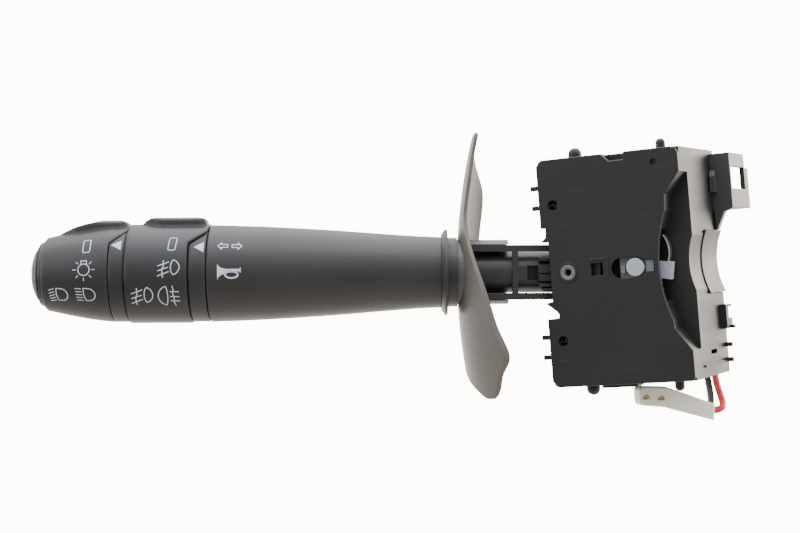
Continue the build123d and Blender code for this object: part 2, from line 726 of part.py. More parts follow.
rail_in = 5.45
rail_out = 7.2
rail_front = 5.9  # towards the driver
rail_back = 3.6
barrel_r = 5.5  # round core behind the rails
bar_start = 17.8
bar_end = 19.3
frame_end = 31.0
knuckle = 4.0
slot_t = 7.35  # half height of the slot in the tube
tube_in = tube_r - tube_wall
pocket_start = 12.6  # dark pocket in the barrel, and the stop tab beside it
pocket_end = 15.4
pocket_high = 1.7
pocket_low = -2.1
comb_end = 12.4
comb_start = 8.0
comb_front = 7.2
with BuildPart() as lever_beam:
    with BuildSketch(station(beam_start - 2)):  # two rails
        for side in (1, -1):
            with Locations((side * (rail_in + rail_out) / 2, -(rail_back + rail_front) / 2)):
                Rectangle(rail_out - rail_in, rail_front - rail_back)
    extrude(amount=frame_end - beam_start + 2)
    with BuildSketch(station(bar_start)):  # bar across the rails
        with Locations((0, -(rail_back + rail_front) / 2)):
            Rectangle(2 * rail_out, rail_front - rail_back)
    extrude(amount=bar_end - bar_start)
    with BuildSketch(station(beam_start - 1)):  # barrel behind the rails
        Circle(barrel_r)
    extrude(amount=frame_end - beam_start + 1)
    with BuildSketch(side_view.offset(-barrel_r)):  # pocket
        with Locations(((pocket_start + pocket_end) / 2, (pocket_high + pocket_low) / 2)):
            Rectangle(pocket_end - pocket_start, pocket_high - pocket_low)
    extrude(amount=3.4, mode=Mode.SUBTRACT)
    with BuildSketch(side_view.offset(-rail_front)):  # stop tab between the pocket and the bar
        with Locations(((pocket_end + bar_start) / 2, (pocket_high + pocket_low) / 2)):
            Rectangle(bar_start - pocket_end, pocket_high - pocket_low)
    extrude(amount=1.8)
    with BuildSketch(station(frame_end)):
        Circle(tube_in - bond)
    extrude(amount=collar_start - frame_end)
    with BuildSketch(station(-3.5)):  # knuckle round the pull pin
        RectangleRounded(2 * rail_out - 0.4, 2 * knuckle, 1.0)
    extrude(amount=beam_start + 3.5)
    with BuildSketch(plan_view.offset(-yoke_in + air)):
        Circle(2.6)
    extrude(amount=2 * (yoke_in - air))
    with BuildSketch(station(-11)):  # tail with the contact of the main beam
        Rectangle(6, 5)
    extrude(amount=8)
    with BuildSketch(plan_view.offset(-yoke_in + air)):
        Circle(pull_pin_r + turn_fit)
    extrude(amount=2 * yoke_in, mode=Mode.SUBTRACT)
    with BuildSketch(side_view.offset(-comb_front)):  # comb in front of the barrel
        for low, high in ((3.0, 3.9), (-0.2, 2.0), (-2.3, -0.6), (-3.8, -2.9)):
            with Locations(((comb_start + comb_end) / 2, (low + high) / 2)):
                Rectangle(comb_end - comb_start, high - low)
        with Locations(((comb_start + comb_end - 1) / 2, -4.75)):
            Rectangle(comb_end - comb_start - 1, 1.0)
    extrude(amount=comb_front - knuckle + 1)
finish(lever_beam, "lever_beam")

with BuildPart() as beam_wiper:
    with BuildSketch(station(-11.5)):
        Rectangle(4, 3)
    extrude(amount=wiper)
finish(beam_wiper, "beam_wiper")

# Tube round the frame. Its front is open, so that the frame shows. Its thinner end carries the sleeve.
spigot_wall = 1.0
with BuildPart() as neck_tube:
    with BuildSketch(side_view):
        ring(tube_start, sleeve_start, tube_r, tube_in)
        ring(sleeve_start - 1, spigot_end, tube_in, tube_in - spigot_wall)
    revolve(axis=stalk_axis)
    with BuildSketch(side_view.offset(-tube_r)):
        with Locations(((tube_start + frame_end) / 2, 0)):
            Rectangle(frame_end - tube_start + 0.4, 2 * slot_t)
    extrude(amount=tube_r, mode=Mode.SUBTRACT)
finish(neck_tube, "neck_tube")

collar_r = tube_r + collar_wall
flange_r = collar_r + flange_out
with BuildPart() as stalk_collar:
    with BuildSketch(side_view):
        with BuildLine():
            Polyline(
                (collar_start, tube_r + bond),
                (collar_start, collar_r),
                (flange_start, collar_r),
                (flange_start, flange_r),
                (flange_start + 0.7, flange_r),
                (sleeve_start, flange_r - 1.3),
                (sleeve_start, tube_r + bond),
                close=True,
            )
        make_face()
    revolve(axis=stalk_axis)
finish(stalk_collar, "stalk_collar")

# Sleeve: slender at the collar and swelling to the knobs.
waist_s, waist_r = 61.9, 11.05
shoulder_s, shoulder_r = 86.0, 12.5
with BuildPart() as stalk_sleeve:
    with BuildSketch(side_view):
        with BuildLine():
            Spline(
                (sleeve_start, collar_r + 0.2),
                (48.3, 9.97),
                (waist_s, waist_r),
                (75.5, 11.95),
                (shoulder_s, shoulder_r),
                (sleeve_end - 0.3, sleeve_r),
            )
            Polyline(
                (sleeve_end - 0.3, sleeve_r),
                (sleeve_end, sleeve_r - 0.3),
                (sleeve_end, sleeve_r - skin),
                (shoulder_s, shoulder_r - skin),
                (waist_s, tube_in + bond),
                (sleeve_start, tube_in + bond),
                (sleeve_start, collar_r + 0.2),
            )
        make_face()
    revolve(axis=stalk_axis)
finish(stalk_sleeve, "stalk_sleeve")

# Cowl shield: a thin leaf, curved both ways, that closes the slot in the column's cowl.
shield_front = 33.75  # highest point of the leaf along the stalk
shield_thick = 0.8
shield_round = 21.0  # radius across the leaf
shield_long = 155.0  # radius along the leaf
shield_outline = (  # seen along the stalk: height, and distance from the driver
    (36.8, -3.6), (33.0, 4.5), (27.9, 9.9), (22.8, 13.4), (15.2, 14.3), (6.0, 13.9), (-6.0, 12.3), (-16.0, 8.6),
    (-23.0, 3.8), (-28.7, -4.0), (-31.4, -9.5), (-32.6, -13.0), (-30.5, -14.9), (-26.4, -16.1), (-22.7, -17.5),
    (-15.2, -16.7), (-5.8, -14.9), (1.3, -12.5), (9.0, -8.7), (14.5, -6.3), (24.0, -6.0), (33.3, -5.0),
)
with BuildPart() as cowl_shield:
    with BuildSketch(station(0)):
        with BuildLine():
            Spline(*shield_outline, periodic=True)
        make_face()
        Circle(tube_r + slide_fit, mode=Mode.SUBTRACT)
    extrude(amount=60)
    with BuildSketch(plan_view):
        with Locations((shield_front - shield_round, 0)):
            Circle(shield_round)
            Circle(shield_round - shield_thick, mode=Mode.SUBTRACT)
        with Locations((shield_front, 0)):
            Rectangle(2 * shield_round - 3, 2 * shield_round, mode=Mode.INTERSECT)
    revolve(axis=Axis(out * (shield_front - shield_long), away), mode=Mode.INTERSECT)
finish(cowl_shield, "cowl_shield")

# Core of the head: carries the two fixed bands and the two turning rings.
fog_detent = fog_start + 11.0  # places of the detent balls along the stalk
light_detent = light_start + 1.95
core_start = sleeve_end - 4.05
spindle_end = light_start + 3.35
far_edge = -5.6  # the full bands begin below this height on the far side, clear of the turned lips
with BuildPart() as head_core:
    with BuildSketch(side_view):
        ring(core_start, sleeve_end, sleeve_r - skin - 0.28, rod_r + turn_fit)
        ring(sleeve_end, light_start - seam, core_r, rod_r + turn_fit)
        ring(light_start - seam, spindle_end, spindle_r, rod_r + turn_fit)
    revolve(axis=stalk_axis)
    for s, top in ((fog_detent, core_r), (light_detent, spindle_r)):  # pockets of the detent balls
        with BuildSketch(Plane(origin=out * s + up * (top - 2.6), x_dir=out, z_dir=up)):
            Circle(0.95)
        extrude(amount=4, mode=Mode.SUBTRACT)
finish(head_core, "head_core")

for name, s, top in (("fog", fog_detent, core_r), ("light", light_detent, spindle_r)):
    with BuildPart() as detent_ball:
        with Locations(tuple(out * s + up * (top - 0.45))):
            Sphere(0.9)
    finish(detent_ball, f"{name}_detent_ball")
    with BuildPart() as ball_spring:
        with BuildSketch(Plane(origin=out * s + up * (top - 2.6), x_dir=out, z_dir=up)):
            Circle(0.8)
            Circle(0.5, mode=Mode.SUBTRACT)
        extrude(amount=1.38)
    finish(ball_spring, f"{name}_detent_spring")

def above_edge(low, high, drop):
    """Side view of what lies above the slanted edge of a knob's lip, lowered by drop."""
    with BuildSketch() as above:
        with BuildLine():
            Polyline(
                (high + 1, lip_low - drop),
                (high, lip_low - drop),
                (low + 0.9, lip_high - 0.8 - drop),
                (low - 0.1, lip_high - drop),
                (low - 0.1, 2 * light_r),
                (high + 1, 2 * light_r),
                close=True,
            )
        make_face()
    return above.sketch


def lip_sector(low, high, drop, far):
    """Room above the slanted edge on the driver's side, and above the height far on the other side."""
    with BuildPart() as sector:
        with BuildSketch(side_view):
            add(above_edge(low, high, drop))
        extrude(amount=-2 * light_r)
        with BuildSketch(side_view):
            with Locations(((low + high) / 2, far + light_r)):
                Rectangle(high - low + 1, 2 * light_r)
        extrude(amount=2 * light_r)
    return sector.part


def knob_lip(low, high, radius):
    """Sector of a knob's skin that reaches over the fixed band beside it."""
    with BuildPart() as lip:
        add(lip_sector(low, high, 0, lip_low))
        with BuildSketch(side_view):
            ring(low, high, radius, radius - skin)
        revolve(axis=stalk_axis, mode=Mode.INTERSECT)
    return lip.part


def crest_from(start, points):
    """Crest of a rib: points along the stalk from start, each with its height over the axis."""
    return [(start + s, height) for s, height in points]


def grip(crest, half, round_r, shift):
    """Raised rib along the top of a knob, common to its side view, its plan and a round section."""
    high, low = crest[0][0], crest[-1][0]
    with BuildPart() as raised:
        with BuildSketch(side_view):
            with BuildLine():
                Spline(*crest)
                Polyline(crest[-1], (low, core_r), (high, core_r), crest[0])
            make_face()
        extrude(amount=2 * half, both=True)
        with BuildSketch(plan_view):
            with BuildLine():
                Polyline(
                    (low - 0.1, 0.7 * half), (low + 2, half), (high - 5, half), (high + 0.1, 0.4 * half),
                    (high + 0.1, -0.4 * half), (high - 5, -half), (low + 2, -half), (low - 0.1, -0.7 * half), close=True,
                )
            make_face()
        extrude(amount=2 * light_r, mode=Mode.INTERSECT)
        with BuildSketch(station(low - 1)):
            with Locations((shift, 0)):
                Circle(round_r)
        extrude(amount=high - low + 2, mode=Mode.INTERSECT)
    return raised.part


for name, low, high, radius in (
    ("fog_band", sleeve_end + seam, fog_start - seam, fog_r),
    ("light_band", fog_end + seam, light_start - seam, light_r),
):
    with BuildPart() as band:
        with BuildSketch(side_view):
            ring(low, high, light_r, core_r + bond)
        revolve(axis=stalk_axis)
        fillet(band.edges().filter_by(GeomType.CIRCLE).group_by(SortBy.RADIUS)[-1], 0.25)
        add(lip_sector(low, high, seam, far_edge), mode=Mode.SUBTRACT)
        with BuildSketch(side_view):
            ring(low, high, radius - skin - air, core_r + bond)
        revolve(axis=stalk_axis)
    finish(band, name)


def detent_track(s, top):
    """Round track over the detent ball, with one deeper notch for each position."""
    with BuildPart() as track_room:
        with BuildSketch(side_view):
            with Locations((s, top + 0.3)):
                Rectangle(2.2, 0.6)
        revolve(axis=stalk_axis)
        for turn in (0, 30, 60):
            turned = up * cos(radians(turn)) - away * sin(radians(turn))
            with Locations(tuple(out * s + turned * (top + 0.15))):
                Sphere(0.9)
    return track_room.part


# Fog ring: hollow, with a web that carries its hub and its wiper.
fog_crest = crest_from(
    fog_start, ((13.2, 12.9), (11.3, 14.5), (5.2, 14.95), (-0.9, 15.05), (-3.1, 14.6), (-4.0, 13.5))
)
grip_half = 3.6
fog_grip = grip(fog_crest, grip_half, 10.84, 4.16)
fog_lip = knob_lip(sleeve_end + seam, fog_start, fog_r)
fog_track = detent_track(fog_detent, core_r)
web_at = fog_start + 7.0
with BuildPart() as fog_ring:
    add(fog_grip)
    with BuildSketch(station(sleeve_end)):
        Circle(fog_r - skin)
    extrude(amount=fog_end - sleeve_end, mode=Mode.SUBTRACT)
    add(fog_lip)
    with BuildSketch(side_view):
        ring(fog_start, fog_end, fog_r, fog_r - skin)
        ring(web_at, web_at + skin, fog_r - 0.5, core_r + turn_fit)
        ring(web_at, web_at + 8, core_r + 1.8, core_r + turn_fit)
    revolve(axis=stalk_axis)
    add(fog_track, mode=Mode.SUBTRACT)
finish(fog_ring, "fog_ring")

with BuildPart() as fog_contacts:
    with BuildSketch(side_view):
        ring(fog_start + 1.6, fog_start + 2.6, fog_r - skin - 2 * air, core_r + bond)
    revolve(axis=stalk_axis)
finish(fog_contacts, "fog_contacts")

with BuildPart() as fog_wiper:
    with BuildSketch(side_view):
        ring(fog_start + 2.75, web_at, core_r + 3.0, core_r + 2.2)
    revolve(axis=stalk_axis)
finish(fog_wiper, "fog_wiper")

# Light knob: tapers to the horn button.
web_start = light_start + 3.65
cap_deep = 5.3  # depth of the bore for the horn button
light_crest = crest_from(
    light_start,
    ((14.75, 10.3), (12.35, 11.5), (9.55, 12.6), (5.05, 13.8), (-1.35, 14.35), (-2.85, 13.8), (-3.65, 13.3)),
)
light_grip = grip(light_crest, grip_half, 10.03, 4.27)
light_lip = knob_lip(fog_end + seam, light_start, light_r)
light_track = detent_track(light_detent, spindle_r)
cap_bore = cap_r + seam
hub_end = web_start + 7.7
with BuildPart() as light_knob:
    add(light_grip)
    with BuildSketch(station(fog_end)):
        Circle(light_r - skin)
    extrude(amount=light_start - fog_end, mode=Mode.SUBTRACT)
    with BuildSketch(station(light_start - 0.1)):
        Circle(light_r - skin)
    extrude(amount=20, taper=7, mode=Mode.SUBTRACT)
    add(light_lip)
    with BuildSketch(side_view):
        with BuildLine():
            Spline(
                (light_start, light_r), (light_start + 5.25, light_r - 0.55), (light_start + 11.15, light_r - 1.6),
                (cap_start - 0.2, 9.8),
            )
            Polyline(
                (cap_start - 0.2, 9.8),
                (cap_start, 9.6),
                (cap_start, cap_bore),
                (cap_start - cap_deep, cap_bore),
                (cap_start - cap_deep, cap_r),
                (web_start + skin + 0.2, light_r - skin - 0.5),
                (light_start, light_r - skin),
                (light_start, light_r),
            )
        make_face()
    revolve(axis=stalk_axis)
    with BuildSketch(side_view):
        ring(web_start, web_start + skin, light_r - skin + 0.3, rod_r + bond)
        ring(light_start + 0.65, web_start + 0.1, spindle_r + 1.6, spindle_r + turn_fit)
        ring(web_start, hub_end, 4.2, rod_r + turn_fit)
    revolve(axis=stalk_axis)
    add(light_track, mode=Mode.SUBTRACT)
finish(light_knob, "light_knob")

with BuildPart() as light_contacts:
    with BuildSketch(side_view):
        ring(light_start - seam, light_start + 0.45, light_r - skin - 2 * air, spindle_r + bond)
    revolve(axis=stalk_axis)
finish(light_contacts, "light_contacts")

with BuildPart() as light_wiper:
    with BuildSketch(side_view):
        ring(light_start + 0.6, web_start, 9.6, 8.8)
    revolve(axis=stalk_axis)
finish(light_wiper, "light_wiper")

rod_start = 45.0
with BuildPart() as light_rod:
    with BuildSketch(station(rod_start)):
        Circle(rod_r)
    extrude(amount=web_start + skin - rod_start)
    with BuildSketch(station(rod_start)):
        Rectangle(2 * rod_r, 0.8)
    extrude(amount=3, mode=Mode.SUBTRACT)
finish(light_rod, "light_rod")

with BuildPart() as rod_guide:
    with BuildSketch(side_view):
        ring(spigot_end - 4, spigot_end - 2, tube_in - spigot_wall - bond, rod_r + turn_fit)
        ring(spigot_end - 6, spigot_end - 3.9, 3.4, rod_r + turn_fit)
    revolve(axis=stalk_axis)
finish(rod_guide, "rod_guide")

# Horn button: a shallow dome at the tip, on a stem in the knob.
cap_low = cap_start - cap_deep + horn_travel + 0.5
cap_wall = 1.2
stem_start = web_start + 4.3
with BuildPart() as horn_cap:
    with BuildSketch(side_view):
        with BuildLine():
            Spline(
                (cap_tip, 0), (cap_tip - 0.5, cap_r - 4.4), (cap_tip - 1.8, cap_r - 1.8), (cap_tip - 2.8, cap_r - 0.7),
                (cap_start + 0.3, cap_r),
                tangents=((0, 1), (-1, 0.35)),
            )
            Polyline(
                (cap_start + 0.3, cap_r),
                (cap_low, cap_r),
                (cap_low, cap_r - cap_wall),
                (cap_start + 0.1, cap_r - cap_wall - 0.4),
                (cap_tip - 2.1, 4.4),
                (cap_tip - 1.7, rod_r),
                (stem_start, rod_r),
                (stem_start, 0),
                (cap_tip, 0),
            )
        make_face()
    revolve(axis=stalk_axis)
finish(horn_cap, "horn_cap")

with BuildPart() as horn_spring:
    with BuildSketch(side_view):
        ring(hub_end + horn_travel, cap_tip - 2.6, 3.0, 2.2)
    revolve(axis=stalk_axis)
finish(horn_spring, "horn_spring")

with BuildPart() as horn_contact:
    with BuildSketch(side_view):
        ring(web_start + skin, stem_start - horn_travel - 0.2, rod_r, 0.6)
    revolve(axis=stalk_axis)
finish(horn_contact, "horn_contact")

# ======== leads and their plug ========

lead_r = 0.9
plug_thick = 4.8
with BuildPart() as lead_grommet:
    with BuildSketch(front(back_y + grommet)):
        with Locations((lead_x, lead_z)):
            RectangleRounded(lead_pitch + 4.2, 4.4, 1.6)
    extrude(amount=grommet)
    fillet(lead_grommet.faces().sort_by(Axis.Y)[-1].edges(), 0.4)
    with BuildSketch(front(back_y + grommet)):
        with Locations((lead_x - lead_pitch / 2, lead_z), (lead_x + lead_pitch / 2, lead_z)):
            Circle(lead_r + bond)
    extrude(amount=grommet - 0.2, mode=Mode.SUBTRACT)
finish(lead_grommet, "lead_grommet")

# Plug: its back half is bent down. Local x runs along it, local y is up.
plug_view = Plane(origin=(12.7, -3.0, -33.3), x_dir=(0.8396, 0.5432, 0), z_dir=(0.5432, -0.8396, 0))
plug_kink = 7.6
plug_end = 20.3
plug_half = 2.4
plug_drop = 5.5
windows = ((1.7, -0.8), (5.7, -1.4))
window_r = 1.0
window_deep = 1.2
with BuildPart() as lead_plug:
    with BuildSketch(plug_view.offset(-plug_thick / 2)):
        with BuildLine():
            Polyline(
                (0, plug_half),
                (plug_kink, plug_half - 0.8),
                (plug_end, plug_half - 0.9 - plug_drop),
                (plug_end - 0.6, -plug_half - 0.3 - plug_drop),
                (plug_kink - 0.8, -plug_half - 1.3),
                (0, -plug_half - 0.2),
                close=True,
            )
        make_face()
    extrude(amount=plug_thick)
    fillet(lead_plug.edges().filter_by(lambda e: abs(e.tangent_at(0).dot(plug_view.z_dir)) > 0.99)
           .sort_by(lambda e: e.center().X)[0:2], 1.2)
    fillet(lead_plug.faces().sort_by(lambda f: f.center().dot(plug_view.z_dir))[-1].edges(), 0.5)
    with BuildSketch(plug_view.offset(plug_thick / 2 - window_deep)):
        for place in windows:
            with Locations(place):
                Circle(window_r)
                with Locations((0, -window_r)):
                    Rectangle(2 * window_r, 2 * window_r - 0.6, mode=Mode.SUBTRACT)
    extrude(amount=window_deep + 0.3, mode=Mode.SUBTRACT)
finish(lead_plug, "lead_plug")

with BuildPart() as plug_terminals:
    with BuildSketch(plug_view.offset(plug_thick / 2 - window_deep)):
        for x, y in windows:
            with Locations((x, y + 0.2)):
                Rectangle(1.2, 0.8)
    extrude(amount=0.4)
finish(plug_terminals, "plug_terminals")

# Leads: out of the back, down, and forward under the box to the plug.
lead_routes = {
    "lead_black": (
        (lead_x - lead_pitch / 2, back_y + 0.2, lead_z), (25.8, 20.0, -18.4), (25.4, 23.4, -20.2), (25.0, 25.5, -23.5),
        (25.1, 25.6, -27.4), (25.6, 23.6, -31.0), (26.7, 20.3, -34.1), (27.7, 16.5, -36.6), (28.3, 12.7, -38.2),
        (28.15, 9.55, -38.6),
    ),
    "lead_red": (
        (lead_x + lead_pitch / 2, back_y + 0.2, lead_z), (27.7, 20.0, -18.4), (27.3, 23.4, -20.2), (27.0, 25.4, -23.5),
        (27.1, 25.4, -27.4), (27.8, 23.2, -30.9), (29.0, 19.7, -33.9), (30.5, 16.2, -36.3), (31.7, 12.6, -38.2),
        (31.6, 9.6, -39.1), (29.75, 8.0, -39.1),
    ),
}
for name, route in lead_routes.items():
    points = [Vector(*p) for p in route]
    radii = []
    for before, point, after in zip(points, points[1:], points[2:]):
        turned = (point - before).get_angle(after - point)
        shorter = min((point - before).length, (after - point).length)
        radii.append(0.45 * shorter / tan(radians(turned / 2)))
    with BuildPart() as lead:
        with BuildLine():
            path = FilletPolyline(*points, radius=radii)
        with BuildSketch(Plane(origin=points[0], z_dir=points[1] - points[0])):
            Circle(lead_r)
        sweep()
    print(name, "length", round(path.length, 1), "radii", [round(r, 1) for r in radii],
          "volume", round(lead.part.volume, 1), "section times length", round(pi * lead_r**2 * path.length, 1))
    finish(lead, name)
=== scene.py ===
# %% [markdown]
# # Combination stalk switch
# The solids of the switch come in as a fixed frame: every node stands at its real size, in metres, with the
# origin where the stalk's axis crosses the swing axis. This script adds what solids don't carry: finishes,
# printed signs, soft leads, light and a camera.

# %% Load the frame
import json
from math import cos, pi, radians, sin

import bmesh
import bpy
import numpy as np
from mathutils import Matrix, Vector


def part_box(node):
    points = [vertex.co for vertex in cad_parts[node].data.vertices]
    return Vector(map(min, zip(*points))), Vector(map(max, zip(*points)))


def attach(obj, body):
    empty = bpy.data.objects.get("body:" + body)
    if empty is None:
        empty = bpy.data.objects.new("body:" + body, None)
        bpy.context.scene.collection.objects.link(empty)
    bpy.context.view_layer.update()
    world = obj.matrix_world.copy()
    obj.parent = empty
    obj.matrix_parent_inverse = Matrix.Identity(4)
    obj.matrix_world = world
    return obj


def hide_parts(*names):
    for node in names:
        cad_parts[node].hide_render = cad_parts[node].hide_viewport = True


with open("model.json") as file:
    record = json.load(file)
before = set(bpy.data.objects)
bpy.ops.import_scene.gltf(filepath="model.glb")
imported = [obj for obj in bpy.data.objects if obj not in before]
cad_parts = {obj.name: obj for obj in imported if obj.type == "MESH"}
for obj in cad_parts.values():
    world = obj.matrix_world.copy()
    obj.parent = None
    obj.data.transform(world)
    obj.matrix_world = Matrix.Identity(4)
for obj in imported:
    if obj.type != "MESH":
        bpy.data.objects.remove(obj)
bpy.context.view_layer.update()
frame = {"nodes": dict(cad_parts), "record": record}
nodes = frame["nodes"]
mm = 0.001

# %% [markdown]
# The camera looks at the switch from the driver's side, a little from the column. Three axes fix it: where
# it looks, where its picture's up is, and the third square to both. A matrix of these columns places it
# exactly, which three angles would only do by trial.

# %% Camera
picture_width = 800
focal_pixels = 1500
sensor_mm = 36
camera_place = Vector((115.48, -386.07, -1.40)) * mm
camera_look = Vector((-0.4000, 0.91636, 0.01642)).normalized()
camera_up = Vector((0.0785, 0.0164, 0.9968))
camera_right = camera_look.cross(camera_up).normalized()
camera_up = camera_right.cross(camera_look)

camera = bpy.data.objects.new("camera", bpy.data.cameras.new("camera"))
bpy.context.scene.collection.objects.link(camera)
camera.data.sensor_width = sensor_mm
camera.data.lens = sensor_mm * focal_pixels / picture_width
camera.data.clip_start = 0.01
camera.matrix_world = (
    Matrix.Translation(camera_place)
    @ Matrix((camera_right, camera_up, -camera_look)).transposed().to_4x4()
)
bpy.context.scene.camera = camera
print("camera at", tuple(camera_place), "lens", round(camera.data.lens, 1))

# %% [markdown]
# Small black parts show best over a white table that curves up into a white wall. The sweep is one grid: its
# profile is a floor, a quarter circle and a wall. The switch hangs well above it, as it does on its column,
# so no hard shadow lies under it.


# %% Sheet helper
def sheet(name, points):
    """Mesh object through a grid of points, an array of rows by columns by 3, with neighbours joined."""
    rows, columns = points.shape[:2]
    index = np.arange(rows * columns).reshape(rows, columns)
    corners = [index[:-1, :-1], index[:-1, 1:], index[1:, 1:], index[1:, :-1]]
    faces = np.stack(corners, -1).reshape(-1, 4)
    mesh = bpy.data.meshes.new(name)
    mesh.from_pydata(points.reshape(-1, 3).tolist(), [], faces.tolist())
    piece = bpy.data.objects.new(name, mesh)
    bpy.context.scene.collection.objects.link(piece)
    return piece


# %% Floor and wall
floor_z = -0.13
floor_front = -1.4
floor_back = 1.0
sweep_radius = 0.7
half_width = 2.4
wall_height = 2.4
turns = np.linspace(0, pi / 2, 25)
curve_y = floor_back + sweep_radius * np.sin(turns)
curve_z = floor_z + sweep_radius * (1 - np.cos(turns))
profile = np.concatenate(
    [
        [(floor_front, floor_z)],
        np.stack([curve_y, curve_z], -1),
        [(floor_back + sweep_radius, floor_z + wall_height)],
    ]
)
across = np.linspace(-half_width, half_width, 9)
grid = np.zeros((len(profile), len(across), 3))
grid[..., 0] = across
grid[..., 1] = profile[:, None, 0]
grid[..., 2] = profile[:, None, 1]
floor = sheet("floor", grid)
floor.data.shade_smooth()
print("floor", len(floor.data.polygons), "faces")

# %% [markdown]
# Paper, world and plastics are all made of shader nodes. One helper adds a node with its settings and links
# in a single line, and one starts a node group.


# %% Node helpers
def new_node(tree, kind, links=None, **values):
    """Node of a tree with its inputs or settings given by name, and links from outputs to named inputs."""
    node = tree.nodes.new(kind)
    for name, value in values.items():
        label = name.replace("_", " ").title()
        if label in node.inputs:
            node.inputs[label].default_value = value
        else:
            setattr(node, name, value)
    for name, output in (links or {}).items():
        tree.links.new(output, node.inputs[name])
    return node


def new_group(name, inputs, outputs):
    """Node group with number inputs, given with their defaults, and outputs, given with their kinds."""
    group = bpy.data.node_groups.new(name, "ShaderNodeTree")
    for label, default in inputs.items():
        socket = group.interface.new_socket(label, in_out="INPUT", socket_type="NodeSocketFloat")
        socket.default_value = default
    for label, kind in outputs.items():
        group.interface.new_socket(label, in_out="OUTPUT", socket_type=kind)
    return group, group.nodes.new("NodeGroupInput"), group.nodes.new("NodeGroupOutput")


# %% [markdown]
# White paper in a light tent is lit from behind as well, until it is the brightest thing in sight. An
# emission shader gives that without a lamp for each sheet. Cycles can tell which rays come straight from the
# camera: for them the paper is pure white, and for the light that it throws on the switch it is dimmer and a
# little warm. It throws most from behind and little from the front of the table, where the tent is open for
# the camera. From underneath the table is see-through, so that the switch can be looked at from below too.


# %% White paper
def seen_and_shed(tree, shader, seen, shed):
    """Sets a shader's Strength to seen for rays from the camera, and to the socket shed for all others."""
    rays = new_node(tree, "ShaderNodeLightPath")
    strength = new_node(tree, "ShaderNodeMix", {"Factor": rays.outputs["Is Camera Ray"], "A": shed})
    strength.inputs["B"].default_value = seen
    tree.links.new(strength.outputs["Result"], shader.inputs["Strength"])


white_seen = 14.0
paper_colour = (1.0, 0.93, 0.86, 1)
front_y, front_shed = -0.3, 0.4
back_y, back_shed = 0.25, 2.3
paper = bpy.data.materials.new("white paper")
paper.use_nodes = True
sheet_tree = paper.node_tree
sheet_tree.nodes.remove(sheet_tree.nodes["Principled BSDF"])
glow = new_node(sheet_tree, "ShaderNodeEmission", color=paper_colour)
place = new_node(sheet_tree, "ShaderNodeTexCoord")
depth = new_node(sheet_tree, "ShaderNodeSeparateXYZ", {"Vector": place.outputs["Object"]})
behind = new_node(
    sheet_tree,
    "ShaderNodeMapRange",
    {"Value": depth.outputs["Y"]},
    interpolation_type="SMOOTHSTEP",
    from_min=front_y,
    from_max=back_y,
    to_min=front_shed,
    to_max=back_shed,
)
seen_and_shed(sheet_tree, glow, white_seen, behind.outputs["Result"])
side = new_node(sheet_tree, "ShaderNodeNewGeometry")
nothing = new_node(sheet_tree, "ShaderNodeBsdfTransparent")
one_way = new_node(
    sheet_tree,
    "ShaderNodeMixShader",
    {"Fac": side.outputs["Backfacing"], 1: glow.outputs["Emission"], 2: nothing.outputs["BSDF"]},
)
paper_out = sheet_tree.nodes["Material Output"]
sheet_tree.links.new(one_way.outputs["Shader"], paper_out.inputs["Surface"])
floor.data.materials.append(paper)
print("paper", white_seen, "for the camera")

# %% [markdown]
# The rest of the tent is the world. Only the side behind and below the camera is dim, and that gives a
# black stalk its dark middle between pale edges. So the world's strength follows from the direction: its dot
# product with the darkest direction is high where the tent is dim.

# %% World light
tent_colour = (0.95, 0.97, 1.0, 1)
darkest_way = (0.33, -0.8, -0.5)
bright_until, bright_shed = 0.1, 2.2
dark_from, dark_shed = 0.85, 0.5
world = bpy.data.worlds.new("studio")
bpy.context.scene.world = world
world.use_nodes = True
tent_tree = world.node_tree
background = tent_tree.nodes["Background"]
background.inputs["Color"].default_value = tent_colour
where = new_node(tent_tree, "ShaderNodeTexCoord")
toward = new_node(
    tent_tree, "ShaderNodeVectorMath", {0: where.outputs["Generated"]}, operation="DOT_PRODUCT"
)
toward.inputs[1].default_value = darkest_way
dim = new_node(
    tent_tree,
    "ShaderNodeMapRange",
    {"Value": toward.outputs["Value"]},
    interpolation_type="SMOOTHSTEP",
    from_min=bright_until,
    from_max=dark_from,
    to_min=bright_shed,
    to_max=dark_shed,
)
seen_and_shed(tent_tree, background, white_seen, dim.outputs["Result"])
print("world", world.name, "sheds", bright_shed, "to", dark_shed)

# %% [markdown]
# Three soft boxes shape the edges: one overhead, one behind the column that warms the side wall, and a faint
# one from below. None is seen by the camera itself.


# %% Soft boxes
def soft_box(name, place, target, width, height, power, colour):
    """Area light at place, turned to target."""
    light = bpy.data.lights.new(name, "AREA")
    light.shape = "RECTANGLE"
    light.size = width
    light.size_y = height
    light.energy = power
    light.color = colour
    lamp = bpy.data.objects.new(name, light)
    bpy.context.scene.collection.objects.link(lamp)
    lamp.location = place
    lamp.visible_camera = False
    lamp.rotation_euler = (Vector(target) - Vector(place)).to_track_quat("-Z", "Y").to_euler()
    return lamp


cool = (0.95, 0.97, 1.0)
warm = (1.0, 0.9, 0.8)
soft_box("ceiling", (0.0, 0.1, 1.1), (-0.05, 0, 0), width=1.6, height=1.2, power=14, colour=cool)
soft_box("behind the column", (0.85, 1.25, 0.0), (0.03, 0, 0), width=1.1, height=1.1, power=26, colour=warm)
soft_box("below", (0.0, 0.25, -0.12), (0.0, 0, 0), width=0.8, height=0.5, power=2.0, colour=warm)

# %% [markdown]
# Nearly everything here is moulded plastic, so the finishes share two node groups. One gives the fine grain
# that a spark-eroded mould leaves, with the corners rounded a little, and one the clouding and scuffs that
# hands leave. The groups give normals and masks only; each finish keeps its own shader.

